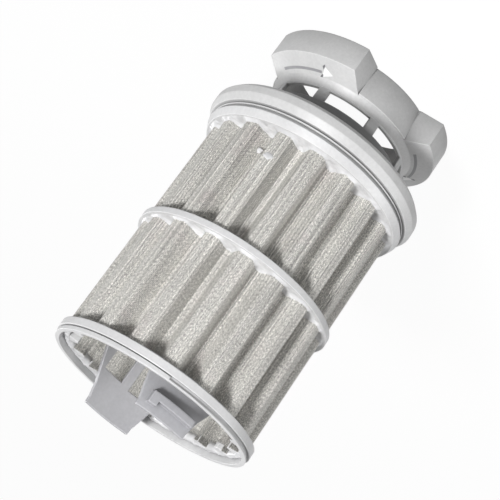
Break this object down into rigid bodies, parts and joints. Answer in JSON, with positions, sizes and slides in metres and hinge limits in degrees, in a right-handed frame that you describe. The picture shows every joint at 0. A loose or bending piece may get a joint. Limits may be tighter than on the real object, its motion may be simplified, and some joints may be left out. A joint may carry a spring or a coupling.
{
  "type": "dishwasher filter",
  "caption": "Cylindrical dishwasher micro filter: pleated steel mesh sleeve between end rings, slotted neck, lobed twist handle and an inner cage with catch feet.",
  "frame": {"origin": "centre of the handle's resting face, on the filter's axis", "axes": "+Z along the filter's axis from the handle to the open end with the feet; -Y is the side the picture looks at"},
  "size_m": [0.0694, 0.0694, 0.1182],
  "materials": {
    "grey_plastic": "satin moulded grey plastic",
    "pale_plastic": "satin moulded pale grey plastic",
    "white_plastic": "satin moulded off-white plastic",
    "steel_mesh": "fine woven stainless wire cloth"
  },
  "bodies": {
    "root": {"handle": "grey_plastic", "top_ring": "pale_plastic", "mid_ring": "pale_plastic", "end_ring": "pale_plastic", "closing_rim": "white_plastic", "inner_cage": "grey_plastic", "mesh_sleeve": "steel_mesh"}
  },
  "joints": []
}
